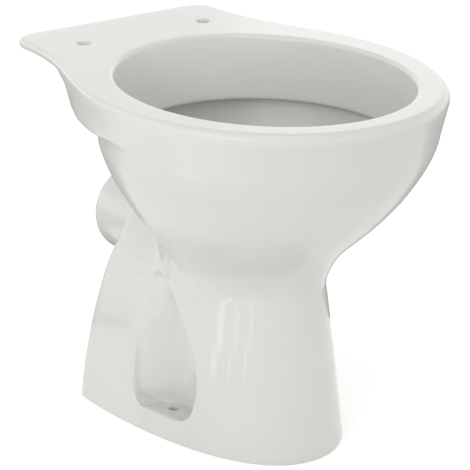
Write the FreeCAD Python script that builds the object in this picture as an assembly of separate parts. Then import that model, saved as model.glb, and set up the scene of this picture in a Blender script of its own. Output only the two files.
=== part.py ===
import FreeCAD, Part
import os
from FreeCAD import Vector

# A floor-standing washdown toilet pan in glazed vitreous china, in millimetres.
# +Z is up and the floor is z = 0. The front of the pan looks along -Y, the wall is towards +Y,
# and x = 0 is the plane of symmetry. The pieces are the cast members that are joined before firing.

# Rim and seat deck, seen from above
rim_height = 390.0
rim_half_width = 176.0
rim_widest_y = -30.0
rim_front_y = -240.0
deck_back_y = 240.0
deck_half_width = 126.0
deck_corner_radius = 22.0
deck_flank_pull = 102.0
deck_thickness = 12.0
deck_edge_radius = 7.0
deck_overhang = 0.5

# Holes for the seat hinges
seat_hole_spacing = 155.0
seat_hole_radius = 7.5
seat_hole_setback = 71.0

# Band of the rim, the upright wall below the deck and the rim's top
band_height = 43.0
band_draft = 7.0
band_back_y = 165.0
band_ledge = 8.0

# Opening of the bowl and the apron that hangs from its edge
rim_top_width = 34.0
rim_top_front = 30.0
opening_widest_y = -45.0
opening_back_y = 124.0
opening_edge_radius = 8.0
apron_depth = 66.0
apron_side_lean = 4.0
apron_front_lean = 6.0
apron_back_lean = 18.0
apron_wall = 7.0

# Floor of the flush channel and its wash holes
channel_floor = 8.0
channel_headroom = 6.0
wash_hole_offset = 4.5
wash_hole_count = 24
wash_hole_radius = 2.5

# China walls
china_wall = 9.0

# Outside of the bowl, from the band down to where the neck takes it
bowl_depth = 143.0
bowl_side_step = 3.5
bowl_back_step = 9.0
bowl_join_half_width = 90.5
bowl_join_front_y = -136.0
bowl_join_back_y = 101.0
bowl_shift_y = 35.0
bowl_shoulder_drop = 60.0
bowl_belly_rise = 35.0
bowl_base_drop = 20.0
bowl_base_inset = 28.0
basin_back_lean = 42.0
well_rise = 46.0

# Foot: the outline on the floor, the neck below the bowl, and the leg behind
foot_nose_y = -140.0
foot_back_y = 138.0
foot_half_width = 118.0
foot_straight = 28.0
foot_corner_radius = 9.0
waist_height = 100.0
waist_nose_y = -127.5
waist_half_width = 97.0
waist_widest_y = 70.0
waist_back_half_width = 97.0
neck_drop = 38.0
neck_nose_y = -121.5
neck_half_width = 75.0
neck_widest_y = 20.0
neck_back_y = 72.0
leg_top_half_width = 72.0
hump_lean = 11.0
hump_rise = 22.0
hump_crown_half_width = 30.0
hump_step = 1.0

# Outlet at the back
outlet_height = 180.0
spigot_radius = 51.0
spigot_length = 65.0
spigot_wall = 11.0

# Trap: the water seal between the bowl and the outlet
trap_bore_radius = 37.0
trap_bend_radius = 48.0
water_seal = 50.0
leg_wall_gap = 2.0

# Flush inlet under the deck
flush_bore_radius = 27.5
flush_wall = 8.0
flush_deck_gap = 2.5
flush_bore_depth = 40.0
flush_passage_radius = 18.0

# Recess for the floor screw in each side of the foot
screw_spacing = 160.0
screw_hole_radius = 5.5
screw_y = 5.0
ledge_height = 24.0
ledge_thickness = 9.0
pocket_floor_inset = 19.0
pocket_widest_height = 66.0
pocket_half_length = 46.0
pocket_tip_y = 20.0
pocket_neck_gap = 6.0
pocket_slant_y = 10.0
pocket_slant = 23.0
pocket_front_rise = 45.0
pocket_tip_reach = 25.0
pocket_tip_drop = 11.0
pocket_back_drop = 32.0
pocket_back_rise = 30.0

# Levels and places that follow from the sizes above
opening_half_width = rim_half_width - rim_top_width
opening_front_y = rim_front_y + rim_top_front
deck_under_z = rim_height - deck_thickness
band_bottom_z = rim_height - band_height
lip_z = rim_height - apron_depth
bowl_join_z = band_bottom_z - bowl_depth
well_top_z = bowl_join_z + well_rise
neck_z = bowl_join_z - neck_drop
foot_widest_y = foot_back_y - foot_straight
trap_radius = trap_bore_radius + china_wall
riser_y = foot_back_y - china_wall - leg_wall_gap - trap_radius
throat_y = riser_y - 2 * trap_bend_radius
weir_z = outlet_height - trap_bore_radius
bend_z = weir_z - water_seal + trap_bend_radius - trap_bore_radius
throat_z = neck_z - leg_wall_gap
pocket_tip_height = neck_z - pocket_neck_gap
flush_height = deck_under_z - flush_deck_gap - flush_wall - flush_bore_radius
flush_passage_height = deck_under_z - channel_headroom - flush_passage_radius

# How full a curve is between its two ends: a circle's quarter is 0.552
round_full = 0.552
rim_front_full = 0.59
band_side_full = 0.52
band_back_full = 0.78
bowl_front_full = 0.61
bowl_back_full = 0.50
bowl_shoulder_share = 0.13
bowl_belly_share = 0.68
bowl_rings = 6
foot_nose_full = 0.85
foot_flank_full = 0.20
straight_full = 0.33
flare_start = 0.20
pocket_base_full = 0.75

# Turns of the bent pipes in degrees, and how level an edge is to count as level
quarter_turn = 90.0
half_turn = 180.0
level_tolerance = 0.01


def bezier(*points):
    """One smooth edge from the first point to the last, drawn towards the points between."""
    curve = Part.BezierCurve()
    curve.setPoles([Vector(*point) for point in points])
    return curve.toShape()


def mirrored(point):
    """The same point on the other side of the plane of symmetry."""
    return (-point[0], point[1], point[2])


def closed_by_mirror(half):
    """A closed wire from the edges of its right half, listed from the front to the back."""
    right = [bezier(*edge) for edge in half]
    left = [bezier(*[mirrored(point) for point in reversed(edge)]) for edge in reversed(half)]
    return Part.Wire(right + left)


def oval(z, half_width, widest_y, front_y, back_y, front_full, back_side_full, back_full):
    """A level outline that is widest at widest_y and closes with its own curve at each end."""
    side = (half_width, widest_y, z)
    front = [
        (0, front_y, z),
        (half_width * front_full, front_y, z),
        (half_width, widest_y + (front_y - widest_y) * front_full, z),
        side,
    ]
    back = [
        side,
        (half_width, widest_y + (back_y - widest_y) * back_side_full, z),
        (half_width * back_full, back_y, z),
        (0, back_y, z),
    ]
    return closed_by_mirror([front, back])


def prism(wire, height):
    """A solid that stands on a level outline."""
    return Part.Face(wire).extrude(Vector(0, 0, height))


def band_outline(z, inset):
    """The rim's front and side, closed round the back of the bowl below the deck."""
    return oval(z, rim_half_width - inset, rim_widest_y, rim_front_y + inset, band_back_y - inset,
                rim_front_full, band_side_full, band_back_full)


def opening_outline(z, grow):
    """The bowl's opening at height z, which leans inwards from the rim down to the apron's lip."""
    share = (rim_height - z) / apron_depth
    return oval(z, opening_half_width + grow - apron_side_lean * share, opening_widest_y,
                opening_front_y - grow + apron_front_lean * share,
                opening_back_y + grow - apron_back_lean * share,
                round_full, round_full, round_full)


def bezier_value(share, start, start_pull, end_pull, end):
    """A smooth change from start to end, where share goes from 0 to 1."""
    rest = 1 - share
    return (start * rest ** 3 + 3 * start_pull * rest ** 2 * share
            + 3 * end_pull * rest * share ** 2 + end * share ** 3)


def bowl_level(share):
    """One level of the bowl's outside: height, half width, widest, front, back and fullness."""
    z = bezier_value(share, band_bottom_z, band_bottom_z - bowl_shoulder_drop,
                     bowl_join_z + bowl_belly_rise, bowl_join_z)
    drawn_in = bezier_value(share, 0, bowl_shoulder_share, bowl_belly_share, 1)

    def between(top, join):
        return top + (join - top) * drawn_in

    half_width = between(rim_half_width - band_draft - bowl_side_step, bowl_join_half_width)
    front_y = between(rim_front_y + band_draft, bowl_join_front_y)
    back_y = between(band_back_y - band_draft - bowl_back_step, bowl_join_back_y)
    full = between(bowl_front_full, rim_front_full)
    return z, half_width, rim_widest_y + bowl_shift_y * drawn_in, front_y, back_y, full


def bowl_ring(share, inset, back_lean=0, drop=0, draw_in=0):
    """The bowl's outline at one level, moved in by a wall, and for the base lower and drawn in."""
    z, half_width, widest_y, front_y, back_y, full = bowl_level(share)
    narrow = inset + draw_in
    back = back_y - narrow - back_lean * share ** 2
    return oval(z - drop, half_width - narrow, widest_y, front_y + narrow, back,
                full, bowl_back_full, bowl_back_full)


def bowl_solid(inset, back_lean=0):
    """The bowl as a full body down to its round throat, with its outside moved in by inset."""
    rings = [bowl_ring(step / bowl_rings, inset, back_lean) for step in range(bowl_rings + 1)]
    rings.append(bowl_ring(1, inset, back_lean, bowl_base_drop, bowl_base_inset))
    radius = trap_radius - inset
    throat_ring = oval(throat_z, radius, throat_y, throat_y - radius, throat_y + radius,
                       round_full, round_full, round_full)
    body = Part.makeLoft(rings + [throat_ring], True)
    return body.fuse(prism(throat_ring, bend_z - throat_z))


def basin_solid():
    """The inside of the bowl, whose back leans forwards to leave room for the trap's riser."""
    return bowl_solid(china_wall, basin_back_lean)


def deck_outline(z):
    """The rim's front, its two flanks that sweep in to the deck, and the deck's straight back."""
    corner_y = deck_back_y - deck_corner_radius
    corner_x = deck_half_width - deck_corner_radius
    corner_pull = deck_corner_radius * round_full
    side = (rim_half_width, rim_widest_y, z)
    front = [
        (0, rim_front_y, z),
        (rim_half_width * rim_front_full, rim_front_y, z),
        (rim_half_width, rim_widest_y + (rim_front_y - rim_widest_y) * rim_front_full, z),
        side,
    ]
    flank = [
        side,
        (rim_half_width, rim_widest_y + deck_flank_pull, z),
        (deck_half_width, corner_y - deck_flank_pull, z),
        (deck_half_width, corner_y, z),
    ]
    corner = [
        (deck_half_width, corner_y, z),
        (deck_half_width, corner_y + corner_pull, z),
        (corner_x + corner_pull, deck_back_y, z),
        (corner_x, deck_back_y, z),
    ]
    back = [(corner_x, deck_back_y, z), (0, deck_back_y, z)]
    return closed_by_mirror([front, flank, corner, back])


def edges_at(shape, z):
    """The edges of a shape that lie level at height z."""
    def level(edge):
        box = edge.BoundBox
        return max(abs(box.ZMin - z), abs(box.ZMax - z)) < level_tolerance

    return [edge for edge in shape.Edges if level(edge)]


def band_solid():
    """The band below the rim as a full body."""
    bottom = band_outline(band_bottom_z, band_draft)
    return Part.makeLoft([bottom, band_outline(deck_under_z, deck_overhang)], True)


def make_seat_deck():
    """The seat deck and the top of the rim in one plate, with the holes for the seat hinges."""
    plate = prism(deck_outline(deck_under_z), deck_thickness)
    plate = plate.makeFillet(deck_edge_radius, edges_at(plate, rim_height))
    opening = Part.makeLoft([opening_outline(deck_under_z, 0), opening_outline(rim_height, 0)], True)
    deck = plate.cut(opening)
    mouth_box = opening.BoundBox
    mouth_box.enlarge(deck_overhang)
    inner_edges = [edge for edge in edges_at(deck, rim_height) if mouth_box.isInside(edge.BoundBox)]
    deck = deck.makeFillet(opening_edge_radius, inner_edges)
    for side in (-1, 1):
        place = Vector(side * seat_hole_spacing / 2, deck_back_y - seat_hole_setback, deck_under_z)
        deck = deck.cut(Part.makeCylinder(seat_hole_radius, deck_thickness, place))
    return deck


def ledge_space():
    """The level of the ledge inside the rim's outline."""
    return prism(band_outline(band_bottom_z, 0), band_ledge)


def make_rim_ledge():
    """The flat ring that seats the band on the bowl, cut through for the flush at the back."""
    mouth = prism(bowl_ring(0, china_wall), band_ledge)
    return band_solid().common(ledge_space()).cut([mouth, flush_passage()])


def make_rim_band():
    """The wall below the rim, outside the flush channel, with the way in for the flush."""
    channel_share = band_ledge / (deck_under_z - band_bottom_z)
    channel = Part.makeLoft([
        band_outline(band_bottom_z + band_ledge, china_wall + band_draft * (1 - channel_share)),
        band_outline(deck_under_z, china_wall),
    ], True)
    return band_solid().cut([ledge_space(), channel, flush_passage()])


def flush_passage():
    """The round way from the flush inlet into the channel behind the apron."""
    start = Vector(0, opening_back_y, flush_passage_height)
    return Part.makeCylinder(flush_passage_radius, band_back_y - opening_back_y, start, Vector(0, 1, 0))


def apron_solid(grow):
    """The apron's inside, or its outside when grown by its wall, as a full body."""
    return Part.makeLoft([opening_outline(lip_z, grow), opening_outline(deck_under_z, grow)], True)


def make_apron():
    """The wall that hangs from the edge of the opening and hides the flush channel."""
    return apron_solid(apron_wall).cut(apron_solid(0))


def make_channel_floor():
    """The floor of the flush channel between the apron and the bowl, with its wash holes."""
    floor = basin_solid().common(prism(band_outline(lip_z, 0), channel_floor))
    floor = floor.cut(apron_solid(apron_wall))
    path = opening_outline(lip_z, apron_wall + wash_hole_offset)
    for place in path.discretize(wash_hole_count + 1)[:-1]:
        floor = floor.cut(Part.makeCylinder(wash_hole_radius, channel_floor, place))
    return floor


def bowl_wall():
    """The bowl's whole wall, from the band down to the throat of the trap."""
    return bowl_solid(0).cut([basin_solid(), flush_passage(), riser_bar(trap_radius)])


def space_above_well():
    """All the space inside the rim's outline that is higher than the well."""
    return prism(band_outline(well_top_z, 0), rim_height - well_top_z)


def make_bowl():
    """The bowl's sides, from the band down to the well."""
    return bowl_wall().common(space_above_well())


def make_bowl_well():
    """The bottom of the bowl, which holds the water and leads down to the trap."""
    return bowl_wall().cut(space_above_well())


def foot_outline(z, nose_y, half_width, widest_y, back_half_width, inset):
    """The foot at height z: a round nose, two flanks and a flat back with round corners."""
    width = half_width - inset
    back_width = back_half_width - inset
    nose = nose_y + inset
    back = foot_back_y - inset
    corner_y = back - foot_corner_radius
    corner_x = back_width - foot_corner_radius
    corner_pull = foot_corner_radius * round_full
    side = (width, widest_y, z)
    front = [
        (0, nose, z),
        (width * foot_nose_full, nose, z),
        (width, widest_y + (nose - widest_y) * foot_flank_full, z),
        side,
    ]
    flank = [
        side,
        (width, widest_y + (corner_y - widest_y) * straight_full, z),
        (back_width, corner_y - (corner_y - widest_y) * straight_full, z),
        (back_width, corner_y, z),
    ]
    corner = [
        (back_width, corner_y, z),
        (back_width, corner_y + corner_pull, z),
        (corner_x + corner_pull, back, z),
        (corner_x, back, z),
    ]
    wall = [(corner_x, back, z), (0, back, z)]
    return closed_by_mirror([front, flank, corner, wall])


def foot_solid(inset):
    """The foot from the floor to the neck, as a full body."""
    return Part.makeLoft([
        foot_outline(0, foot_nose_y, foot_half_width, foot_widest_y, foot_half_width, inset),
        foot_outline(waist_height, waist_nose_y, waist_half_width, waist_widest_y,
                     waist_back_half_width, inset),
        foot_outline(neck_z, neck_nose_y, neck_half_width, neck_widest_y, leg_top_half_width, inset),
    ], True)


def neck_outline(z, inset, share):
    """The neck's outline at height z, a share of the way from the foot to the bowl."""
    _, half_width, widest_y, front_y, back_y, _ = bowl_level(1)

    def between(low, high):
        return low + (high - low) * share

    width = between(neck_half_width, half_width) - inset
    middle = between(neck_widest_y, widest_y)
    nose = between(neck_nose_y, front_y) + inset
    back = between(neck_back_y, back_y) - inset
    side = (width, middle, z)
    nose_full = between(foot_nose_full, rim_front_full)
    flank_full = between(foot_flank_full, rim_front_full)
    front_edge = [
        (0, nose, z),
        (width * nose_full, nose, z),
        (width, middle + (nose - middle) * flank_full, z),
        side,
    ]
    back_edge = [
        side,
        (width, middle + (back - middle) * bowl_back_full, z),
        (width * bowl_back_full, back, z),
        (0, back, z),
    ]
    return closed_by_mirror([front_edge, back_edge])


def flare_solid(inset):
    """The flare that carries the bowl on the neck, as a full body."""
    half_way = (neck_z + bowl_join_z) / 2
    return Part.makeLoft([
        neck_outline(neck_z, inset, 0),
        neck_outline(half_way, inset, flare_start),
        neck_outline(bowl_join_z, inset, 1),
    ], True)


def hump_arch(y, width, inset):
    """The upright outline of the leg's top at y, from the neck's level over the crown."""
    top = outlet_height + spigot_radius - inset
    half = [
        (width, y, neck_z),
        (width - hump_lean, y, neck_z + hump_rise),
        (hump_crown_half_width, y, top),
        (0, y, top),
    ]
    arch = [bezier(*half), bezier(*[mirrored(point) for point in reversed(half)])]
    sill = Part.makeLine(Vector(-width, y, neck_z), Vector(width, y, neck_z))
    return Part.Wire(arch + [sill])


def hump_solid(inset):
    """The top of the leg behind the bowl, which closes over the outlet."""
    back = hump_arch(foot_back_y - inset, leg_top_half_width - hump_step - inset, inset)
    front = hump_arch(neck_widest_y, neck_half_width - hump_step - inset, inset)
    return Part.makeLoft([back, front], True)


def pedestal_body(inset):
    """Foot, flare and hump as one full body."""
    return foot_solid(inset).fuse([flare_solid(inset), hump_solid(inset)])


def pipe_arc(radius, start, turn_centre, degrees):
    """A round bar bent about an axis along x through turn_centre, from a level end at start."""
    disc = Part.Face(Part.Wire(Part.makeCircle(radius, start, Vector(0, 0, 1))))
    return disc.revolve(turn_centre, Vector(1, 0, 0), degrees)


def sump_bar(radius):
    """The round bar of the U-bend below the throat and the riser."""
    start = Vector(0, throat_y, bend_z)
    return pipe_arc(radius, start, Vector(0, throat_y + trap_bend_radius, bend_z), half_turn)


def riser_bar(radius):
    """The round bar of the riser: up, over the weir, and back to the foot's rear face."""
    turn_z = outlet_height - trap_bend_radius
    turn_y = riser_y + trap_bend_radius
    backwards = Vector(0, 1, 0)
    upright = Part.makeCylinder(radius, turn_z - bend_z, Vector(0, riser_y, bend_z))
    bend = pipe_arc(radius, Vector(0, riser_y, turn_z), Vector(0, turn_y, turn_z), -quarter_turn)
    level_start = Vector(0, turn_y, outlet_height)
    level = Part.makeCylinder(radius, foot_back_y - turn_y, level_start, backwards)
    return upright.fuse([bend, level])


def make_trap_sump():
    """The U-bend that holds the water seal."""
    return sump_bar(trap_radius).cut(sump_bar(trap_bore_radius))


def make_trap_riser():
    """The leg that rises from the U-bend over the weir to the outlet."""
    return riser_bar(trap_radius).cut(riser_bar(trap_bore_radius)).removeSplitter()


def make_outlet_spigot():
    """The outlet that the soil pipe's connector slides over."""
    start = Vector(0, foot_back_y, outlet_height)
    backwards = Vector(0, 1, 0)
    outside = Part.makeCylinder(spigot_radius, spigot_length, start, backwards)
    bore = Part.makeCylinder(spigot_radius - spigot_wall, spigot_length, start, backwards)
    return outside.cut(bore)


def make_flush_inlet():
    """The socket for the flush pipe, through the back of the rim into the flush channel."""
    backwards = Vector(0, 1, 0)
    boss_start = Vector(0, opening_back_y, flush_height)
    boss_length = band_back_y + flush_bore_depth - opening_back_y
    boss = Part.makeCylinder(flush_bore_radius + flush_wall, boss_length, boss_start, backwards)
    bore_start = Vector(0, band_back_y, flush_height)
    bore = Part.makeCylinder(flush_bore_radius, flush_bore_depth, bore_start, backwards)
    return boss.cut([bore, flush_passage(), band_solid(), bowl_solid(0)])


def pocket_body(grow):
    """The recess on the right side as a full body, with its walls moved out by grow."""
    far = 2 * foot_half_width
    floor_x = screw_spacing / 2 - pocket_floor_inset - grow
    half = pocket_half_length + grow
    low = ledge_height - grow
    middle = pocket_widest_height
    top = pocket_tip_height + grow
    base_pull = half * pocket_base_full
    corner_z = middle - (middle - low) * round_full
    front_side = (0, -half, middle)
    back_side = (0, half, middle)
    tip = (0, pocket_tip_y, top)
    base = (0, 0, low)
    teardrop = Part.Wire([
        bezier(base, (0, -base_pull, low), (0, -half, corner_z), front_side),
        bezier(front_side, (0, -half, middle + pocket_front_rise),
               (0, pocket_tip_y - pocket_tip_reach, top - pocket_tip_drop), tip),
        bezier(tip, (0, pocket_tip_y + pocket_tip_drop, top - pocket_back_drop),
               (0, half, middle + pocket_back_rise), back_side),
        bezier(back_side, (0, half, corner_z), (0, base_pull, low), base),
    ])
    side_view = Part.Face(teardrop).extrude(Vector(far, 0, 0))
    corners = [(floor_x, -far), (far, -far), (far, half + grow), (floor_x + pocket_slant, half + grow),
               (floor_x, pocket_slant_y), (floor_x, -far)]
    plan = Part.Face(Part.makePolygon([Vector(x, y, 0) for x, y in corners]))
    return side_view.common(plan.extrude(Vector(0, 0, rim_height)))


def make_pocket():
    """The wall of the recess on the right side, with the ledge and its screw hole."""
    wall = pocket_body(ledge_thickness).cut(pocket_body(0)).common(foot_solid(0))
    hole = Part.makeCylinder(screw_hole_radius, ledge_height + ledge_thickness,
                             Vector(screw_spacing / 2, screw_y, 0))
    return wall.cut(hole)


def other_side(shape):
    """The mirror image on the left side."""
    return shape.mirror(Vector(0, 0, 0), Vector(1, 0, 0))


def make_pedestal():
    """The hollow foot, open below, with room for the bowl, the trap and the two recesses."""
    pocket = pocket_body(ledge_thickness)
    shell = pedestal_body(0).cut(pedestal_body(china_wall))
    shell = shell.cut([bowl_solid(0), pocket, other_side(pocket), riser_bar(trap_radius)])
    return shell


PIECES = {
    "seat_deck": make_seat_deck,
    "rim_band": make_rim_band,
    "rim_ledge": make_rim_ledge,
    "apron": make_apron,
    "channel_floor": make_channel_floor,
    "bowl": make_bowl,
    "bowl_well": make_bowl_well,
    "pedestal": make_pedestal,
    "fixing_pocket_right": make_pocket,
    "fixing_pocket_left": lambda: other_side(make_pocket()),
    "trap_sump": make_trap_sump,
    "trap_riser": make_trap_riser,
    "outlet_spigot": make_outlet_spigot,
    "flush_inlet": make_flush_inlet,
}

os.makedirs("parts", exist_ok=True)
for name, make in PIECES.items():
    shape = make()
    shape.exportStep(f"parts/{name}.step")
    print(name, shape.isValid(), len(shape.Solids), round(shape.Volume / 1000), "cm3")
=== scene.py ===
# %% [markdown]
# # A floor-standing toilet pan in glazed china
# The pan is one hollow casting. It is modelled here as the pieces a potter would name: the rim with
# its seat deck, the apron inside the mouth, the bowl, the foot with its screw recesses, the outlet,
# the flush socket and the trap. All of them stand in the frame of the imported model, in metres.

# %% Load the frame
from math import cos, pi, radians, sin
import bmesh
import bpy
import numpy as np
from mathutils import Matrix


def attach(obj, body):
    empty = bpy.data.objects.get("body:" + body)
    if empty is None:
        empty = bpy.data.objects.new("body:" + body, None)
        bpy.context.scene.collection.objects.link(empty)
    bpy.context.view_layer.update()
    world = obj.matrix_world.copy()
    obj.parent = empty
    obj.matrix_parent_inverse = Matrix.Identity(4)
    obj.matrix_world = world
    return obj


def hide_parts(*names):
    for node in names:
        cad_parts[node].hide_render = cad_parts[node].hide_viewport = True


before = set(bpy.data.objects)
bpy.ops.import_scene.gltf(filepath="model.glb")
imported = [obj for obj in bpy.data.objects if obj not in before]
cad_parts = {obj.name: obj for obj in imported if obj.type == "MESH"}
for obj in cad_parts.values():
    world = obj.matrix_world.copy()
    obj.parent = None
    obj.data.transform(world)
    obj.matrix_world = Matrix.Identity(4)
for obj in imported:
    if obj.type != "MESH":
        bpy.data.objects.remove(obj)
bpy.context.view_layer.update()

# %% [markdown]
# ## How a cast form is built up
# Every cast member here is a stack of closed loops, as a hollow pot is. A loop starts as a circle
# primitive, and each next loop is extruded from the last one and pulled onto its outline. That keeps
# clean rows of four-sided faces, which a glossy glaze needs: one bad face would show as a dent.
# Sizes are written in millimetres, as on a drawing, and turned into metres in one place.

# %% Loops that are extruded and pulled into place
MM = 0.001
SAME_PLACE = MM / 1000
SMOOTH_BELOW = radians(38)


def only(piece):
    """Only this piece is selected, and operators act on it."""
    bpy.ops.object.select_all(action="DESELECT")
    piece.select_set(True)
    bpy.context.view_layer.objects.active = piece


def pull_loop(piece, loop):
    """The selected loop is pulled onto its new places."""
    mesh = bmesh.from_edit_mesh(piece.data)
    station = mesh.verts.layers.int["station"]
    for vert in mesh.verts:
        if vert.select:
            vert.co = loop[vert[station]]
    bmesh.update_edit_mesh(piece.data)


def stack_loops(name, loops):
    """A closed shell from loops that run round it, the last one joined to the first."""
    loops = [np.asarray(loop) * MM for loop in loops]
    bpy.ops.object.select_all(action="DESELECT")
    bpy.ops.mesh.primitive_circle_add(vertices=len(loops[0]), radius=MM)
    piece = bpy.context.object
    piece.name = name
    only(piece)
    bpy.ops.object.mode_set(mode="EDIT")
    mesh = bmesh.from_edit_mesh(piece.data)
    station = mesh.verts.layers.int.new("station")
    for number, vert in enumerate(mesh.verts):
        vert[station] = number
    bpy.ops.mesh.select_all(action="SELECT")
    pull_loop(piece, loops[0])
    for loop in loops[1:] + loops[:1]:
        bpy.ops.mesh.extrude_region_move()
        pull_loop(piece, loop)
    bpy.ops.mesh.select_all(action="SELECT")
    bpy.ops.mesh.remove_doubles(threshold=SAME_PLACE)
    bpy.ops.mesh.normals_make_consistent(inside=False)
    bpy.ops.object.mode_set(mode="OBJECT")
    bpy.ops.object.shade_smooth_by_angle(angle=SMOOTH_BELOW)
    print(name, len(loops), "loops,", len(piece.data.polygons), "faces")
    return piece


# %% [markdown]
# ## Outlines
# The rim, the band, the mouth and the bowl are ovals that are widest a little in front of the middle.
# Half of each outline is drawn with Bezier edges from the front to the back and then mirrored, so the
# pan is exactly symmetric. Every outline has the same number of stations, counted from the front.

# %% Half outlines and rings
FRONT, FLANK, CORNER, BACK = 56, 44, 8, 16
HALF = FRONT + FLANK + CORNER + BACK
ROUND = 0.552


def along(edge, shares):
    """Points on one Bezier edge at these shares of its way."""
    p0, p1, p2, p3 = (np.asarray(point, float) for point in edge)
    t = np.asarray(shares, float)[:, None]
    return p0 * (1 - t) ** 3 + 3 * p1 * (1 - t) ** 2 * t + 3 * p2 * (1 - t) * t ** 2 + p3 * t ** 3


def oval_edges(half_width, widest, front, back, full, side_full, back_full):
    """The front and the back edge of a half oval, from straight at a fullness of 0 to square at 1."""
    side = (half_width, widest)
    return ([(0, front), (half_width * full, front), (half_width, widest + (front - widest) * full), side],
            [side, (half_width, widest + (back - widest) * side_full), (half_width * back_full, back),
             (0, back)])


def half_oval(edges, back_shares=None):
    """A half oval at its stations, from the front to the back."""
    if back_shares is None:
        back_shares = np.linspace(0, 1, HALF - FRONT + 1)[1:]
    return np.concatenate([along(edges[0], np.linspace(0, 1, FRONT + 1)), along(edges[1], back_shares)])


def ring(half, z):
    """A whole loop from its right half, at a height or at a height for each station."""
    heights = np.broadcast_to(np.asarray(z, float), (len(half),))
    right = np.column_stack([half, heights])
    right[[0, -1], 0] = 0
    left = right[-2:0:-1] * (-1, 1, 1)
    return np.concatenate([right, left])


print("half an outline has", HALF + 1, "stations")

# %% [markdown]
# ## The rim with the seat deck
# Seen from above, the rim's outside sweeps from the round front into the straight seat deck.

# %% Outline of the rim and the deck
RIM_Z = 390
RIM_WIDE, RIM_WIDEST_Y, RIM_FRONT_Y = 176, -30, -240
DECK_WIDE, DECK_BACK_Y, DECK_CORNER = 126, 240, 24
RIM_FULL, RIM_PULL, DECK_PULL = 0.575, 92, 105


def deck_half(inset):
    """The rim's front, its flank that sweeps in to the deck, the corner and the straight back."""
    wide, front, back = RIM_WIDE - inset, RIM_FRONT_Y + inset, DECK_BACK_Y - inset
    deck, corner = DECK_WIDE - inset, DECK_CORNER - inset
    corner_y, corner_x = back - corner, deck - corner
    front_edge = oval_edges(wide, RIM_WIDEST_Y, front, back, RIM_FULL, 0, 0)[0]
    flank = [(wide, RIM_WIDEST_Y), (wide, RIM_WIDEST_Y + RIM_PULL), (deck, corner_y - DECK_PULL),
             (deck, corner_y)]
    bend = [(deck, corner_y), (deck, corner_y + corner * ROUND), (corner_x + corner * ROUND, back),
            (corner_x, back)]
    wall = [(corner_x, back), (corner_x * 2 / 3, back), (corner_x / 3, back), (0, back)]
    rows = [along(front_edge, np.linspace(0, 1, FRONT + 1))]
    for edge, count in ((flank, FLANK), (bend, CORNER), (wall, BACK)):
        rows.append(along(edge, np.linspace(0, 1, count + 1)[1:]))
    return np.concatenate(rows)


deck = deck_half(0)
print("deck is", 2 * DECK_WIDE, "mm wide, the rim", round(2 * float(deck[:, 0].max()), 1), "mm")

# %% [markdown]
# Below the deck, the band of the rim turns away inwards with a soft fillet. The overhang at each station
# is the distance between the two outlines, so the fillet fades out by itself towards the front. Behind
# the widest place, each station of the band is the one that lies nearest to the deck's own station.

# %% Outline of the band, and how far the deck overhangs it
BAND_BACK_Y, BAND_SIDE_FULL, BAND_BACK_FULL = 165, 0.53, 0.78
FINE, EVEN_SHARE = 800, 0.001


def band_edges(inset):
    """The front and the back edge of the band's half outline."""
    return oval_edges(RIM_WIDE - inset, RIM_WIDEST_Y, RIM_FRONT_Y + inset, BAND_BACK_Y - inset,
                      RIM_FULL, BAND_SIDE_FULL, BAND_BACK_FULL)


rear_deck = deck[FRONT + 1:]
fine = np.linspace(0, 1, FINE + 1)
band_line = along(band_edges(0)[1], fine)
nearest = np.array([fine[np.argmin(np.hypot(*(band_line - place).T))] for place in rear_deck])
even = np.linspace(0, 1, len(rear_deck) + 1)[1:]
band_shares = np.maximum.accumulate(even * EVEN_SHARE + nearest * (1 - EVEN_SHARE))
inward = band_line[np.round(band_shares * FINE).astype(int)] - rear_deck
outward = rear_deck - (0, RIM_WIDEST_Y)
apart = np.hypot(*inward.T) * np.where((inward * outward).sum(1) < 0, 1, 0)
overhang = np.concatenate([np.zeros(FRONT + 1), apart])
print("deck overhang at the back", round(float(overhang[-1]), 1), "mm")


# %% Soft steps, and the band's own half loop
BAND_BLEND = 2


def ease(value):
    """A soft step from 0 to 1."""
    value = np.clip(value, 0, 1)
    return value * value * (3 - 2 * value)


def ease_over(value, start, end):
    """A soft step that is 0 up to start and 1 from end on."""
    return ease((value - start) / (end - start))


def band_half(inset):
    """The band below the deck, moved in by inset and never outside the deck."""
    half = deck_half(inset)
    back = along(band_edges(inset)[1], band_shares)
    reach = ease(overhang[FRONT + 1:] / BAND_BLEND)[:, None]
    half[FRONT + 1:] = half[FRONT + 1:] * (1 - reach) + back * reach
    return half


band = band_half(0)
print("band ends at y", round(float(band[-1, 1]), 1), "mm")

# %% [markdown]
# The rim's section is walked from the mouth's edge over the top, round the outside, in under the deck,
# down the band to the crease above the bowl, and back inside where nobody looks. A potter sponges every
# edge round, so each corner of the section is a small arc of loops. The mouth leans in on its way down.

# %% Outline of the mouth
LIP_Z = 321
MOUTH_WIDE, MOUTH_WIDEST_Y, MOUTH_FRONT_Y, MOUTH_BACK_Y = 142, -45, -210, 124
SIDE_LEAN, FRONT_LEAN, BACK_LEAN = 4, 6, 18


def mouth_half(z, grow):
    """The mouth of the bowl, which leans in from the rim down to the apron's lip."""
    share = (RIM_Z - z) / (RIM_Z - LIP_Z)
    edges = oval_edges(MOUTH_WIDE + grow - SIDE_LEAN * share, MOUTH_WIDEST_Y,
                       MOUTH_FRONT_Y - grow + FRONT_LEAN * share,
                       MOUTH_BACK_Y + grow - BACK_LEAN * share, ROUND, ROUND, ROUND)
    return half_oval(edges)


print("mouth is", 2 * MOUTH_WIDE, "by", MOUTH_BACK_Y - MOUTH_FRONT_Y, "mm")

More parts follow.
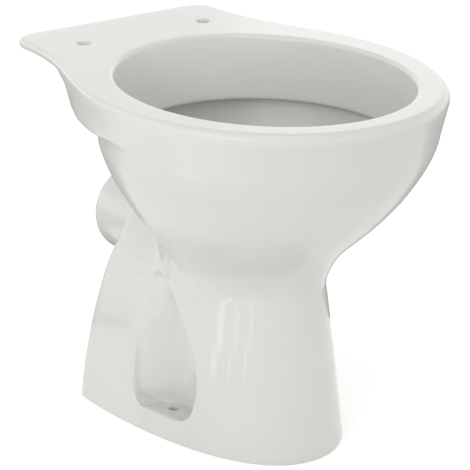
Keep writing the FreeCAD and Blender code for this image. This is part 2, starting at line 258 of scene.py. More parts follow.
# %% Loops over the top of the rim
MOUTH_EDGE, FRONT_EDGE, DECK_EDGE = 4, 8, 4
EDGE_CHANGE_Y = (-170, -30)
TOP_ROWS = 12
RIM_SEAM_Z = RIM_Z - MOUTH_EDGE - 1
stations_y = deck[:, 1]
top_edge = FRONT_EDGE - (FRONT_EDGE - DECK_EDGE) * ease_over(stations_y, *EDGE_CHANGE_Y)
deck_step = deck_half(1) - deck


def deck_inset(amounts):
    """The deck's outline moved in by an amount for each station."""
    return deck + deck_step * np.asarray(amounts)[:, None]


quarter = np.linspace(0, pi / 2, 6)
rim_seam = ring(mouth_half(RIM_SEAM_Z, 0), RIM_SEAM_Z)
rim_loops = [rim_seam]
for turn in quarter:
    z = RIM_Z - MOUTH_EDGE + MOUTH_EDGE * sin(turn)
    rim_loops.append(ring(mouth_half(z, MOUTH_EDGE * (1 - cos(turn))), z))
top_inner = mouth_half(RIM_Z, MOUTH_EDGE)
top_outer = deck_inset(top_edge)
for share in np.linspace(0, 1, TOP_ROWS + 2)[1:-1]:
    rim_loops.append(ring(top_inner * (1 - share) + top_outer * share, RIM_Z))
for turn in quarter:
    rim_loops.append(ring(deck_inset(top_edge * (1 - sin(turn))), RIM_Z - top_edge * (1 - cos(turn))))
print("rim's top has", len(rim_loops), "loops")

# %% [markdown]
# Under the deck the loops have two jobs. Where the deck overhangs, they turn under its edge, run in
# along its underside and down the fillet. Where the band is flush, the same loops simply step down the
# wall. A weight from the overhang mixes the two, so no loop ever falls onto its neighbour.

# %% How the band leans
BAND_Z, DECK_UNDER_Z = 347, 378
BAND_DRAFT, FLANK_DRAFT = 7, 3
FLANK_FROM_Y, FLANK_TO_Y = (-20, 20), (50, 90)
on_flank = ease_over(stations_y, *FLANK_FROM_Y) * (1 - ease_over(stations_y, *FLANK_TO_Y))
draft = BAND_DRAFT - (BAND_DRAFT - FLANK_DRAFT) * on_flank
band_step = band_half(1) - band


def drafted(z):
    """The band at a height: it leans in on its way down, least of all on the flanks."""
    lower = max(DECK_UNDER_Z - z, 0) / (DECK_UNDER_Z - BAND_Z)
    return band + band_step * (draft * lower)[:, None]


print("band leans in by", FLANK_DRAFT, "to", BAND_DRAFT, "mm")

# %% Loops under the deck
LOWER_EDGE, FILLET, EDGE_FLAT = 4.5, 12, 0.3
UNDER_HALF = 0.45
FULL_OVERHANG, NO_OVERHANG = 14, 0.01
FLUSH_TOP_Z, FLUSH_LOW_Z = RIM_Z - 12, RIM_Z - 26
under = ease(overhang / FULL_OVERHANG)
edge_r = np.minimum(LOWER_EDGE, overhang * UNDER_HALF)
fillet_r = np.minimum(FILLET, overhang * UNDER_HALF)
flat_z = RIM_Z - top_edge - EDGE_FLAT - edge_r
steps = [("edge", turn) for turn in quarter[1:-1]] + [("flat", share) for share in (0, 0.33, 0.66, 1)]
steps += [("fillet", turn) for turn in quarter[1:]]
for (kind, amount), flush_z in zip(steps, np.linspace(FLUSH_TOP_Z, FLUSH_LOW_Z, len(steps))):
    if kind == "edge":
        reach, z = edge_r * (1 - cos(amount)), flat_z + edge_r * (1 - sin(amount))
    elif kind == "flat":
        reach, z = edge_r + (overhang - edge_r - fillet_r) * amount, flat_z
    else:
        reach, z = overhang - fillet_r * (1 - sin(amount)), flat_z - fillet_r * (1 - cos(amount))
    share = np.where(overhang > NO_OVERHANG, reach / np.maximum(overhang, NO_OVERHANG), 1)
    sunk = drafted(flush_z) - band
    half = deck + (band - deck) * share[:, None] + sunk * (1 - under)[:, None]
    rim_loops.append(ring(half, z * under + flush_z * (1 - under)))
print("rim has", len(rim_loops), "loops down to the band")

# %% [markdown]
# The band ends in a crease above the bowl. It is a small step at the sides and the back, and fades out
# towards the front. The bowl's own outline is needed here, because the crease steps in to it. The bowl
# falls in one long curve, steep at first and then drawn in below the belly.

# %% Outline of the bowl
JOIN_Z = 204
BOWL_WIDE, BOWL_FRONT_Y, BOWL_BACK_Y = 165.5, -233, 149
LOW_WIDE, LOW_FRONT_Y, LOW_BACK_Y = 83.5, -119, 94
BOWL_FULL, BOWL_FULLER, BOWL_SHIFT = 0.558, 0.053, 24.6
BOWL_SIDE_FULL, BOWL_BACK_FULL = 0.437, 0.508
TOP_STEEP, JOIN_STEEP = 60, 18.4
DRAW_PULLS = (0.068, 0.83)


def mix(share, start, start_pull, end_pull, end):
    """A smooth change from start to end."""
    rest = 1 - share
    return (start * rest ** 3 + 3 * start_pull * rest ** 2 * share
            + 3 * end_pull * rest * share ** 2 + end * share ** 3)


def bowl_half(share, inset=0, back_lean=0):
    """Height and half outline of the bowl at a share of the way down from the band."""
    z = mix(share, BAND_Z, BAND_Z - TOP_STEEP, JOIN_Z + JOIN_STEEP, JOIN_Z)
    drawn = mix(share, 0, *DRAW_PULLS, 1)
    wide = BOWL_WIDE + (LOW_WIDE - BOWL_WIDE) * drawn - inset
    front = BOWL_FRONT_Y + (LOW_FRONT_Y - BOWL_FRONT_Y) * drawn + inset
    back = BOWL_BACK_Y + (LOW_BACK_Y - BOWL_BACK_Y) * drawn - inset - back_lean * share ** 2
    edges = oval_edges(wide, RIM_WIDEST_Y + BOWL_SHIFT * drawn, front, back,
                       BOWL_FULL + BOWL_FULLER * drawn, BOWL_SIDE_FULL, BOWL_BACK_FULL)
    return z, half_oval(edges, band_shares)


print("bowl narrows from", 2 * BOWL_WIDE, "to", 2 * LOW_WIDE, "mm")

# %% Loops down the band to the crease, and back inside
BAND_ROWS_Z = (362, 359.5)
CREASE_Y, NOTCH = (-75, 25), 4
# height above the crease, share of the way in to it
CREASE_ROWS = ((7, 0), (5, 0.012), (3.4, 0.04), (2.2, 0.1), (1.3, 0.24), (0.7, 0.46), (0.3, 0.72))
# distance in from the crease, height
INNER_ROWS = ((6, BAND_Z + 3), (8, RIM_Z - 20))
INNER_WALL, INNER_TOP_Z = 8, RIM_Z - 14
for z in BAND_ROWS_Z:
    rim_loops.append(ring(drafted(z), z))
crease = ease_over(stations_y, *CREASE_Y)[:, None]
band_foot = drafted(BAND_Z)
bowl_top = bowl_half(0)[1]
toward = -band_foot / np.maximum(np.hypot(*band_foot.T), 1)[:, None]
notch = toward * NOTCH * crease
crease_half = band_foot * (1 - crease) + bowl_top * crease + notch
for rise, share in CREASE_ROWS:
    rim_loops.append(ring(drafted(BAND_Z + rise) + (crease_half - band_foot) * share, BAND_Z + rise))
bowl_seam = ring(crease_half, BAND_Z)
rim_loops.append(bowl_seam)
for inset, z in INNER_ROWS:
    rim_loops.append(ring(crease_half + toward * inset, z))
rim_loops.append(ring(mouth_half(INNER_TOP_Z, INNER_WALL), INNER_TOP_Z))
rim = stack_loops("rim_and_deck", rim_loops)

# %% [markdown]
# ## Holes for the seat hinges
# Two plain round holes go through the deck. They are cut with a turned plug whose top flares out, so
# the glaze runs over a soft edge into the hole.

# %% Turned bodies and cuts
CORE = 0.05


def turned(name, profile, centre, axis="Z", stations=48):
    """A closed turned body from radius and height pairs, standing on a point of its centre line."""
    angles = np.arange(stations) * 2 * pi / stations
    loops = []
    for radius, height in profile:
        flat = np.column_stack([radius * np.cos(angles), radius * np.sin(angles), np.full(stations, height)])
        if axis == "Y":
            flat = np.column_stack([flat[:, 0], flat[:, 2], -flat[:, 1]])
        loops.append(flat + np.asarray(centre, float))
    return stack_loops(name, loops)


def cut_away(piece, cutter):
    """The cutter's shape is taken out of the piece."""
    only(piece)
    bpy.ops.object.modifier_add(type="BOOLEAN")
    cut = piece.modifiers[-1]
    cut.operation = "DIFFERENCE"
    cut.solver = "EXACT"
    cut.object = cutter
    bpy.ops.object.modifier_apply(modifier=cut.name)
    bpy.data.objects.remove(cutter)
    bpy.ops.object.shade_smooth_by_angle(angle=SMOOTH_BELOW)


# %% The two hinge holes
HINGE_SPACING, HINGE_Y = 155, 169
HINGE_R, HINGE_FLARE = 7.6, 8.8
hinge_profile = [(CORE, -30), (HINGE_R, -30), (HINGE_R, -1.6), (7.8, -0.8), (8.2, -0.3),
                 (HINGE_FLARE, 0.05), (HINGE_FLARE, 4), (CORE, 4)]
for side in (-1, 1):
    plug = turned("hinge_plug", hinge_profile, (side * HINGE_SPACING / 2, HINGE_Y, RIM_Z))
    cut_away(rim, plug)

# %% [markdown]
# ## The apron
# Inside the mouth a wall hangs down from the rim and hides the channel that the flush water runs in.
# Its lip is rounded. It could be one piece with the rim, but a seam is easy to hide on a smooth wall,
# and as its own shell it keeps an even thickness.

# %% Apron
APRON_WALL = 7
APRON_FACE_Z, APRON_BACK_Z = (372, 362, 352, 342, 334, 329), (340, 360, 377)
LIP_ROWS = 9
lip_r = APRON_WALL / 2
apron_loops = [rim_seam] + [ring(mouth_half(z, 0), z) for z in APRON_FACE_Z]
for turn in np.linspace(0, pi, LIP_ROWS):
    z = LIP_Z + lip_r * (1 - sin(turn))
    apron_loops.append(ring(mouth_half(z, lip_r * (1 - cos(turn))), z))
apron_loops += [ring(mouth_half(z, APRON_WALL), z) for z in APRON_BACK_Z]
apron = stack_loops("apron_wall", apron_loops)

# %% [markdown]
# ## The bowl
# The outside starts exactly under the crease of the rim. The inside is the same curve one wall further
# in, and its back leans forward to leave room for the trap. Below it, the basin narrows to the round
# throat. Bowl and foot meet on one shared loop below the belly.

# %% Outside of the bowl
BAND_FADE, NOTCH_FADE = 0.3, 0.14
SEAM_Z = 244
shares = np.linspace(0, 1, 401)
levels = [-bowl_half(share)[0] for share in shares]


def outer_bowl(share):
    """The outside, with what is left of the band's lean and the crease's notch below the rim."""
    z, half = bowl_half(share)
    fade = (1 - ease(share / BAND_FADE)) * (1 - crease)
    return z, half + (band_foot - bowl_top) * fade + notch * (1 - ease(share / NOTCH_FADE))


def share_at(z):
    """The share of the way down the bowl at a height."""
    return float(np.interp(-z, levels, shares))


seam_share = share_at(SEAM_Z)
seam_half = outer_bowl(seam_share)[1]
foot_seam = ring(seam_half, SEAM_Z)
print("bowl and foot meet at share", round(seam_share, 3))

# %% Bowl loops
WALL = 9
THROAT_Y, THROAT_Z, BORE, BEND_Z = -15, 164, 37, 104
BASIN_LEAN = 42
BASIN_STEEP, THROAT_STEEP, BASIN_PULLS = 16, 14, (0.34, 0.97)
OUTER_ROWS, INNER_BOWL_ROWS, BASIN_ROWS = 22, 22, 12
HIGHEST_OUTER, HIGHEST_INNER = 0.02, 0.04
THROAT_ROWS_Z, OUTER_THROAT_ROWS_Z = (150, 127, BEND_Z), (BEND_Z, 130, 158)
HIDDEN_WALL, HIDDEN_SHRINK = 4, 0.965


def circle_half(radius, y):
    """Half a circle at the bowl's stations."""
    return half_oval(oval_edges(radius, y, y - radius, y + radius, ROUND, ROUND, ROUND))


bowl_loops = [foot_seam]
for share in np.linspace(seam_share, HIGHEST_OUTER, OUTER_ROWS)[1:]:
    z, half = outer_bowl(share)
    bowl_loops.append(ring(half, z))
bowl_loops.append(bowl_seam)
for share in np.concatenate([[0.0], np.linspace(HIGHEST_INNER, 1, INNER_BOWL_ROWS)]):
    z, half = bowl_half(share, WALL, BASIN_LEAN)
    bowl_loops.append(ring(half, z))
low = bowl_half(1, WALL, BASIN_LEAN)[1]
throat = circle_half(BORE, THROAT_Y)
for share in np.linspace(0, 1, BASIN_ROWS)[1:]:
    z = mix(share, JOIN_Z, JOIN_Z - BASIN_STEEP, THROAT_Z + THROAT_STEEP, THROAT_Z)
    drawn = mix(share, 0, *BASIN_PULLS, 1)
    bowl_loops.append(ring(low * (1 - drawn) + throat * drawn, z))
bowl_loops += [ring(throat, z) for z in THROAT_ROWS_Z]
outer_throat = circle_half(BORE + WALL, THROAT_Y)
bowl_loops += [ring(outer_throat, z) for z in OUTER_THROAT_ROWS_Z]
bowl_loops.append(ring(bowl_half(1, HIDDEN_WALL)[1], JOIN_Z + HIDDEN_WALL))
bowl_loops.append(ring(seam_half * HIDDEN_SHRINK, SEAM_Z + 2))
bowl = stack_loops("bowl_shell", bowl_loops)

# %% [markdown]
# ## The foot
# The foot is the hard piece: a round nose in front, a flat back, a leg behind that carries the outlet,
# a neck under the bowl, and in each side a recess for the floor screw. All of it is seen from one centre
# line as a distance for each direction and height. Soft maximums join the bowl's underside, the column
# and the leg, as slip does when it rounds the inside corners of a mould.

# %% The foot below the neck
CENTRE_Y = 20
FLOOR_Z, WAIST_Z, NECK_Z = 0, 100, 166
FOOT_BACK_Y, FOOT_CORNER = 138, 9
# each size at the floor, at the waist and at the neck
FOOT_NOSE_Y, FOOT_WIDE = (-140, -127.5, -121.5), (118, 97, 75)
FOOT_WIDEST_Y, FOOT_REAR = (110, 70, 20), (118, 97, 72)
NOSE_FULL, FLANK_FULL = (0.835, 0.85, 0.85), 0.20
dense = np.linspace(0, 1, 120)


def through(z, sizes):
    """A smooth change through a size at the floor, at the waist and at the neck."""
    floor, waist, neck = sizes
    a, b, c = FLOOR_Z, WAIST_Z, NECK_Z
    return (floor * (z - b) * (z - c) / ((a - b) * (a - c)) + waist * (z - a) * (z - c) / ((b - a) * (b - c))
            + neck * (z - a) * (z - b) / ((c - a) * (c - b)))


def foot_line(z):
    """The plain foot below the neck, without its recesses."""
    nose, wide = through(z, FOOT_NOSE_Y), through(z, FOOT_WIDE)
    widest, rear = through(z, FOOT_WIDEST_Y), through(z, FOOT_REAR)
    corner_y = FOOT_BACK_Y - FOOT_CORNER
    corner_x = rear - FOOT_CORNER
    pull = FOOT_CORNER * ROUND
    third = (corner_y - widest) / 3
    edges = [
        [(0, nose), (wide * through(z, NOSE_FULL), nose), (wide, widest + (nose - widest) * FLANK_FULL),
         (wide, widest)],
        [(wide, widest), (wide, widest + third), (rear, corner_y - third), (rear, corner_y)],
        [(rear, corner_y), (rear, corner_y + pull), (corner_x + pull, FOOT_BACK_Y), (corner_x, FOOT_BACK_Y)],
        [(corner_x, FOOT_BACK_Y), (rear / 2, FOOT_BACK_Y), (rear / 4, FOOT_BACK_Y), (0, FOOT_BACK_Y)],
    ]
    return np.concatenate([along(edge, dense) for edge in edges])


print("foot is", round(2 * float(foot_line(FLOOR_Z)[:, 0].max())), "mm wide on the floor")

# %% The column and the bowl's underside above the neck
COLUMN_LEAN, NOSE_LEAN, COLUMN_BACK_Y, COLUMN_BACK_FULL = 0.30, 0.10, 72, 0.5
LOW_WIDEST_Y, LOW_FULL = -5, 0.61
DRAW_SIDE, DRAW_FRONT, DRAW_BACK, DRAW_FASTER = 0.76, 1.05, 0.5, 0.01
LEAST_SIZE, LEAST_FRONT_Y = 5, -10


def column_line(z):
    """The column above the neck, which keeps leaning in until the bowl takes over."""
    rise = z - NECK_Z
    wide, nose = FOOT_WIDE[-1] - COLUMN_LEAN * rise, FOOT_NOSE_Y[-1] + NOSE_LEAN * rise
    widest = FOOT_WIDEST_Y[-1]
    edges = oval_edges(wide, widest, nose, COLUMN_BACK_Y, NOSE_FULL[-1], COLUMN_BACK_FULL, COLUMN_BACK_FULL)
    edges[0][2] = (wide, widest + (nose - widest) * FLANK_FULL)
    return np.concatenate([along(edge, dense) for edge in edges])


def bowl_line(z):
    """The bowl's outside, carried on below the join with a steeper and steeper draw-in."""
    if z >= JOIN_Z:
        return outer_bowl(share_at(z))[1]
    below = JOIN_Z - z
    faster = DRAW_FASTER * below ** 2
    edges = oval_edges(max(LOW_WIDE - DRAW_SIDE * below - faster, LEAST_SIZE), LOW_WIDEST_Y,
                       min(LOW_FRONT_Y + DRAW_FRONT * below + faster, LEAST_FRONT_Y),
                       max(LOW_BACK_Y - DRAW_BACK * below - faster, LEAST_SIZE),
                       LOW_FULL, BOWL_SIDE_FULL, BOWL_BACK_FULL)
    return half_oval(edges, band_shares)


print("column is", 2 * FOOT_WIDE[-1], "mm wide at the neck")

# %% [markdown]
# Above the neck the leg goes on behind the column. Its flanks and its back are flat, its top closes over
# the outlet, and between leg and column lies a valley that moves back as it rises.

# %% The leg
LEG_TOP_Z, LEG_SHOULDER_Z = 238, 188
LEG_SHOULDER, LEG_CROWN = 61, 34
LEG_BACK_IN, LEG_BACK_Z = 26, (219, 239)
LEG_SHARP, LEAST_SIDE, LEAST_BACK = 14.0, 1e-4, 0.02
VALLEY_Z, VALLEY_MOVE, VALLEY_LONG, VALLEY_DEEP = 191, 0.0105, 0.3, 40
LEG_IN_FRONT = 0.3


def leg_width(z):
    """Half the leg's width above the neck, where its top closes over the outlet."""
    u = np.linspace(0, 1, 200)
    heights = mix(u, NECK_Z, LEG_SHOULDER_Z, LEG_TOP_Z, LEG_TOP_Z)
    return float(np.interp(z, heights, mix(u, FOOT_REAR[-1], LEG_SHOULDER, LEG_CROWN, 0), right=0))


def leg_distance(z, angles):
    """The leg above the neck: flat flanks, a flat back, a sloping top and a valley in front of it."""
    back = FOOT_BACK_Y - LEG_BACK_IN * ease_over(z, *LEG_BACK_Z) - CENTRE_Y
    aside, behind = np.maximum(np.sin(angles), LEAST_SIDE), np.maximum(-np.cos(angles), LEAST_BACK)
    corner = ((leg_width(z) / aside) ** -LEG_SHARP + (back / behind) ** -LEG_SHARP) ** (-1 / LEG_SHARP)
    valley = VALLEY_MOVE * (z - VALLEY_Z)
    rising = ease((-np.cos(angles) - valley) / VALLEY_LONG)
    return np.where(np.cos(angles) < LEG_IN_FRONT, corner - VALLEY_DEEP * (1 - rising), 0)


print("leg is", round(2 * leg_width(LEG_SHOULDER_Z), 1), "mm wide at its shoulder")

# %% The whole outside of the foot, before the recesses
FRONT_ROUND, SIDE_ROUND, ROUND_ANGLES = 40, 18, (radians(55), radians(85))
VALLEY_ROUND = 22
LEG_FROM_Z = (NECK_Z - 12, NECK_Z + 8)
BOWL_FROM_Z, BOWL_ALONE_Z = NECK_Z - 40, (226, 242)


def soft_max(a, b, width):
    """The larger of two distances, rounded where they are within a width of each other."""
    near = np.maximum(width - np.abs(a - b), 0)
    return np.maximum(a, b) + near ** 2 / (4 * width)


def polar(outline, angles):
    """Distances from the centre line to a half outline, at angles from the front."""
    x, y = outline[:, 0], outline[:, 1] - CENTRE_Y
    return np.interp(angles, np.arctan2(x, -y), np.hypot(x, y))


def plain_distance(z, angles):
    """The foot's outside at one height, before the recesses."""
    base = polar(foot_line(min(z, NECK_Z)), angles)
    lift = ease_over(z, *LEG_FROM_Z)
    if lift > 0:
        upper = soft_max(polar(column_line(z), angles), leg_distance(max(z, NECK_Z), angles), VALLEY_ROUND)
        base = base * (1 - lift) + upper * lift
    if z < BOWL_FROM_Z:
        return base
    under_bowl = polar(bowl_line(z), angles)
    over = ease_over(z, *BOWL_ALONE_Z)
    width = FRONT_ROUND - (FRONT_ROUND - SIDE_ROUND) * ease_over(angles, *ROUND_ANGLES)
    return soft_max(base, under_bowl, width) * (1 - over) + under_bowl * over


nose_reach = float(plain_distance(NECK_Z, np.zeros(1))[0])
print("at the neck the nose is", round(nose_reach, 1), "mm from the centre line")

# %% [markdown]
# The recess is a teardrop in the foot's flank. Its front edge is crisp, and its rear edge is a soft ridge
# where the leg rolls over into the hollow. It is drawn as a level section at a few heights: the front
# edge, the inner corner behind it, the start of the slanted wall, the rear corner and the rear edge.
# Rows of vertices follow these five points all the way up, so the edges come out as clean lines.

# %% The recess: its edges on the flank and its inner wall, at a few heights
recess_edges = np.array([
    # height, front edge y, rear edge y
    (20, -8, 8),
    (24, -18, 18),
    (26, -23.5, 25),
    (28.5, -28.5, 30.5),
    (32, -33, 35),
    (37, -37, 39),
    (45, -40, 43.5),
    (57, -42, 46.3),
    (72, -42.5, 48.5),
    (88, -39, 51),
    (104, -32.5, 55),
    (121, -22.5, 58),
    (138, -9, 60),
    (152, 4, 58),
    (163, 15.5, 57),
    (177, 25, 58),
    (196, 39, 63),
    (250, 39, 63),
], float)
recess_wall = np.array([
    # height, front corner x, start of the slant x, y, rear corner x, y
    (22, 63, 63, 2, 77, 18),
    (25, 64.5, 65, 6, 80.5, 25),
    (29, 65, 65, 7, 86.5, 34),
    (35, 65, 65, 7, 93.5, 39.5),
    (44, 65, 65, 7, 97.5, 42.5),
    (60, 65, 65, 7, 97.5, 44.5),
    (76, 65, 65, 7, 95.5, 46),
    (90, 65, 65, 7, 92.5, 45.5),
    (104, 65, 65, 7, 88.7, 43),
    (118, 65, 65, 7, 84.7, 37),
    (131, 65.5, 65.5, 8, 80.6, 31.6),
    (145, 67, 67, 11, 76.8, 26),
    (155, 69.5, 70, 16, 74, 22.5),
    (163, 73, 73, 22, 72.5, 25),
    (172, 76, 73, 28, 71, 33),
    (186, 78, 72, 38, 70, 44),
    (250, 78, 72, 38, 70, 44),
], float)


def drawn_at(z, drawing):
    """A drawing's numbers at any height, by smooth curves through its rows."""
    heights = drawing[:, 0]
    i = int(np.clip(np.searchsorted(heights, z) - 1, 1, len(heights) - 3))
    rows = drawing[i - 1:i + 3]
    step = heights[i + 1] - heights[i]
    t = np.clip((z - heights[i]) / step, 0, 1)
    slope_in = (rows[2] - rows[0]) / (rows[2, 0] - rows[0, 0]) * step
    slope_out = (rows[3] - rows[1]) / (rows[3, 0] - rows[1, 0]) * step
    values = ((2 * t ** 3 - 3 * t ** 2 + 1) * rows[1] + (t ** 3 - 2 * t ** 2 + t) * slope_in
              + (3 * t ** 2 - 2 * t ** 3) * rows[2] + (t ** 3 - t ** 2) * slope_out)
    return values[1:]


print("recess is drawn at", len(recess_edges), "and", len(recess_wall), "heights")

# %% A walk along the recess, with its corners cut round
BEND_STEPS, NO_LENGTH = 13, 1e-6


def part_way(corner, end, cut):
    """A point on the line from a corner to an end, at most a cut away from the corner."""
    return corner + (end - corner) * cut / max(np.linalg.norm(end - corner), NO_LENGTH)


def rounded_walk(corners, cuts, counts):
    """Stations along a line whose corners are cut round, closer together near each corner."""
    corners = [np.asarray(corner, float) for corner in corners]
    bends = [[corners[0]]]
    for before, corner, after, cut in zip(corners, corners[1:], corners[2:], cuts):
        runs = np.linalg.norm(before - corner), np.linalg.norm(after - corner)
        cut = min(cut, UNDER_HALF * runs[0], UNDER_HALF * runs[1])
        a, b = part_way(corner, before, cut), part_way(corner, after, cut)
        bends.append([a * (1 - t) ** 2 + 2 * corner * t * (1 - t) + b * t ** 2
                      for t in np.linspace(0, 1, BEND_STEPS)])
    bends.append([corners[-1]])
    stations = [corners[0]]
    for first, second, count in zip(bends, bends[1:], counts):
        line = np.array(first[len(first) // 2:] + second[:len(second) // 2 + 1])
        way = np.concatenate([[0], np.cumsum(np.hypot(*np.diff(line, axis=0).T))])
        spots = way[-1] * (1 - np.cos(np.linspace(0, pi, count + 1)[1:])) / 2
        stations += [np.array([np.interp(spot, way, line[:, 0]), np.interp(spot, way, line[:, 1])])
                     for spot in spots]
    return np.array(stations)


# %% [markdown]
# Each loop of the foot runs round the nose, through the recess and round the leg. Towards the tip the
# recess grows shallow until its rows lie on the flank again, and higher up all rows turn into those of
# the bowl.

# %% Rows and angles of a foot loop
NOSE_ROWS, LEG_ROWS, CORNER_ROWS = 50, 8, 8
RECESS_COUNTS = (4, 8, 8, 12, 12, 5)
RECESS_CUTS = (2, 5, 14, 5, 6)
RECESS_ROWS = sum(RECESS_COUNTS)
BACK_ROWS = HALF - NOSE_ROWS - RECESS_ROWS - LEG_ROWS - CORNER_ROWS
sweep = np.linspace(0, pi, 721)


def at_angles(angles, distance):
    """Places at angles from the front and distances from the centre line."""
    return np.column_stack([distance * np.sin(angles), CENTRE_Y - distance * np.cos(angles)])


def angles_of(places):
    """The angles from the front at which places lie."""
    return np.arctan2(places[:, 0], CENTRE_Y - places[:, 1])


seam_angles = angles_of(seam_half)
print("a foot loop has", RECESS_ROWS, "rows in its recess and", BACK_ROWS, "on its back")

# %% One loop of the foot
FRONT_RUN, REAR_RUN, CORNER_BEHIND = 5, 12, 5
RECESS_FADE_Z, TO_BOWL_Z = (149, 168), 190


def recess_walk(z, wall_z, flank_x):
    """The level section of the recess, from the flank before it to the flank behind it."""
    front_y, edge_y = drawn_at(z, recess_edges)
    corner_x, slant_x, slant_y, rear_x, rear_y = drawn_at(wall_z, recess_wall)
    return rounded_walk(
        [(flank_x(front_y - FRONT_RUN), front_y - FRONT_RUN), (flank_x(front_y), front_y),
         (corner_x, front_y + CORNER_BEHIND), (slant_x, slant_y), (rear_x, rear_y),
         (flank_x(edge_y), edge_y), (flank_x(edge_y + REAR_RUN), edge_y + REAR_RUN)],
        RECESS_CUTS, RECESS_COUNTS)


def leg_angles(z, start):
    """Angles of the rows from the recess round the leg's corner to the middle of the back."""
    wide = through(z, FOOT_REAR) if z < NECK_Z else max(leg_width(z), LEG_CROWN)
    turn_in = pi - np.arctan2(wide, FOOT_BACK_Y - CENTRE_Y - FOOT_CORNER)
    turn_out = pi - np.arctan2(wide - FOOT_CORNER, FOOT_BACK_Y - CENTRE_Y)
    runs = ((start, turn_in, LEG_ROWS), (turn_in, turn_out, CORNER_ROWS), (turn_out, pi, BACK_ROWS))
    return np.concatenate([np.linspace(a, b, count + 1)[1:] for a, b, count in runs])


def foot_half(z, wall_z, depth):
    """Half a loop of the foot, with the recess cut to a share of its depth."""
    flank = at_angles(sweep, plain_distance(z, sweep))

    def flank_x(y):
        return np.interp(y, flank[:, 1], flank[:, 0])

    walk = recess_walk(z, wall_z, flank_x)
    plain_x = flank_x(walk[:, 1])
    depth = depth * (1 - ease_over(z, *RECESS_FADE_Z))
    recess = np.column_stack([plain_x - np.maximum(plain_x - walk[:, 0], 0) * depth, walk[:, 1]])
    start, end = angles_of(np.column_stack([plain_x, walk[:, 1]]))[[0, -1]]
    nose = np.linspace(0, start, NOSE_ROWS + 1)[:-1]
    leg = leg_angles(z, end)
    up = ease_over(z, TO_BOWL_Z, SEAM_Z)
    if up == 0:
        return np.concatenate([at_angles(nose, plain_distance(z, nose)), recess,
                               at_angles(leg, plain_distance(z, leg))])
    angles = np.concatenate([nose, angles_of(recess), leg]) * (1 - up) + seam_angles * up
    return at_angles(angles, plain_distance(z, angles))


# %% [markdown]
# Near the ledge the rows bunch up: outside the recess they climb the flank as usual, and inside it the
# same rows run in along the ledge and turn up the inner wall. Each row is given as a height on the
# flank, a height inside the recess and a share of the recess's depth.

# %% Loops of the foot's outside
LOW_ROWS_Z = (2.5, 6, 12, 18, 22)
TIP_Z, ROW_STEP, TIP_STEP = 150, 6, 3
ledge_rows = [(24.0, 24.0, 0), (25.6, 25.2, 0.015), (27.0, 25.9, 0.045), (28.4, 26.0, 0.10),
              (29.8, 25.7, 0.20), (31.2, 25.3, 0.36), (32.6, 25.0, 0.56), (33.9, 24.8, 0.76),
              (35.0, 24.7, 0.90), (35.9, 24.7, 0.972), (36.7, 24.9, 0.996), (37.6, 25.8, 1),
              (39.0, 27.8, 1), (41.2, 31.5, 1), (44.5, 36.8, 1), (49.0, 43.5, 1),
              (54.0, 51.0, 1), (60.0, 59.0, 1)]
rows = [(z, z, 0) for z in LOW_ROWS_Z] + ledge_rows
rows += [(z, z, 1) for z in np.arange(ledge_rows[-1][0] + ROW_STEP, TIP_Z, ROW_STEP)]
rows += [(z, z, 1) for z in np.arange(TIP_Z, SEAM_Z - 1, TIP_STEP)]
ramp_in = np.linspace(0, 1, RECESS_COUNTS[0] + RECESS_COUNTS[1] + 1)
ramp_out = np.linspace(1, 0, RECESS_COUNTS[4] + RECESS_COUNTS[5] + 1)
inside = np.zeros(HALF + 1)
inside[NOSE_ROWS:NOSE_ROWS + RECESS_ROWS + 1] = np.concatenate(
    [ease(ramp_in), np.ones(RECESS_COUNTS[2] + RECESS_COUNTS[3] - 1), ease(ramp_out)])
outside = [(foot_half(flank_z, recess_z, depth), flank_z + (recess_z - flank_z) * inside)
           for flank_z, recess_z, depth in rows]
print("foot's outside has", len(outside), "loops")

# %% Sole and hollow of the foot
# distance in from the outside, height
SOLE_ROWS = ((0.4, 0.7), (2.2, 0), (7.5, 0))
HOLLOW_ROWS_Z = (1.5, 8, 14, 15.5, 40, 70, 100, 130, 150, 168, 176, 195, 215, 230)
CLEAR_FROM_Z, CLEAR_TO_Z, CLEAR_X = 15, 172, 51
CLEAR_FROM, CLEAR_TO, LEAST_SINE = radians(36), radians(118), 0.1


def drawn_in(half, amount):
    """A half loop moved towards the centre line."""
    away = half - (0, CENTRE_Y)
    keep_middle = np.column_stack([half[:, 0] > 0, np.ones(len(half))])
    return half - away * amount / np.hypot(*away.T)[:, None] * keep_middle


def hollow_half(z):
    """The hollow inside, which stays clear of the recesses and their ledges."""
    angles = angles_of(outside[0][0])
    distance = plain_distance(z, angles) - WALL
    if CLEAR_FROM_Z < z < CLEAR_TO_Z:
        beside = (angles > CLEAR_FROM) & (angles < CLEAR_TO)
        clear = CLEAR_X / np.maximum(np.sin(angles), LEAST_SINE)
        distance = np.where(beside, np.minimum(distance, clear), distance)
    return at_angles(angles, distance)


sole = outside[0][0]
foot_loops = [foot_seam] + [ring(half, heights) for half, heights in reversed(outside)]
foot_loops += [ring(drawn_in(sole, inset), z) for inset, z in SOLE_ROWS]
foot_loops += [ring(hollow_half(z), z) for z in HOLLOW_ROWS_Z]
foot = stack_loops("foot", foot_loops)

# %% [markdown]
# ## Screw holes
# One round hole goes down through each ledge for the floor screw. Its edge is glazed round as well.

# %% Screw holes in the ledges
SCREW_SPACING, SCREW_Y, LEDGE_Z = 160, 5, 25
SCREW_R, SCREW_FLARE = 5.3, 7.6
screw_profile = [(CORE, -25), (SCREW_R, -25), (SCREW_R, -1.2), (5.6, -0.5), (6.4, 0.4),
                 (SCREW_FLARE, 1.0), (SCREW_FLARE, 6), (CORE, 6)]
for side in (-1, 1):
    plug = turned("screw_plug", screw_profile, (side * SCREW_SPACING / 2, SCREW_Y, LEDGE_Z))
    cut_away(foot, plug)

